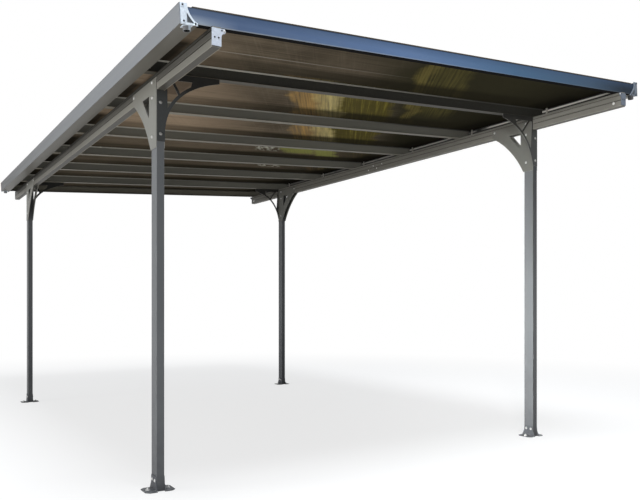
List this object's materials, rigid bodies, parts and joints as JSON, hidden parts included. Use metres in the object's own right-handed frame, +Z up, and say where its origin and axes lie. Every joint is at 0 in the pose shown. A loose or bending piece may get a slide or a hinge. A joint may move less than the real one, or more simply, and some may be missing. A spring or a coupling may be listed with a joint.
{
  "type": "carport",
  "caption": "Open carport: slim posts on bracketed feet carry grooved beams, curved gussets and sloping rafters under tinted roof panels with a gutter down each side.",
  "frame": {"origin": "on the ground under the middle of the roof", "axes": "+X across towards the high side, +Y along the roof towards the back, +Z up"},
  "size_m": [2.96, 5.006, 2.2741],
  "materials": {
    "post_paint": "satin anthracite powder coat",
    "gusset_paint": "satin anthracite powder coat",
    "beam_paint": "satin anthracite powder coat",
    "rafter_paint": "satin anthracite powder coat",
    "trim_paint": "satin blue-grey powder coat",
    "zinc": "bright zinc plating",
    "panel_smoke": "glossy bronze tint"
  },
  "bodies": {
    "root": {"post_front_left": "post_paint", "post_front_right": "post_paint", "post_back_left": "post_paint", "post_back_right": "post_paint", "foot_front_left": "post_paint", "foot_front_right": "post_paint", "foot_back_left": "post_paint", "foot_back_right": "post_paint", "beam_left_front": "beam_paint", "beam_left_back": "beam_paint", "beam_right_front": "beam_paint", "beam_right_back": "beam_paint", "beam_gusset_front_left": "gusset_paint", "beam_gusset_front_right": "gusset_paint", "beam_gusset_back_left": "gusset_paint", "beam_gusset_back_right": "gusset_paint", "cross_gusset_front_left": "gusset_paint", "cross_gusset_front_right": "gusset_paint", "cross_gusset_back_left": "gusset_paint", "cross_gusset_back_right": "gusset_paint", "rafter_1": "rafter_paint", "rafter_2": "rafter_paint", "rafter_3": "rafter_paint", "rafter_4": "rafter_paint", "rafter_5": "rafter_paint", "rafter_6": "rafter_paint", "fascia_front": "trim_paint", "fascia_back": "trim_paint", "gutter_left": "trim_paint", "gutter_right": "trim_paint", "end_cap_front_left": "zinc", "end_cap_front_right": "zinc", "end_cap_back_left": "zinc", "end_cap_back_right": "zinc", "end_plate_front_left": "zinc", "end_plate_front_right": "zinc", "end_plate_back_left": "zinc", "end_plate_back_right": "zinc", "panel_1": "panel_smoke", "panel_2": "panel_smoke", "panel_3": "panel_smoke", "panel_4": "panel_smoke", "panel_5": "panel_smoke", "panel_6": "panel_smoke", "panel_7": "panel_smoke"}
  },
  "joints": []
}
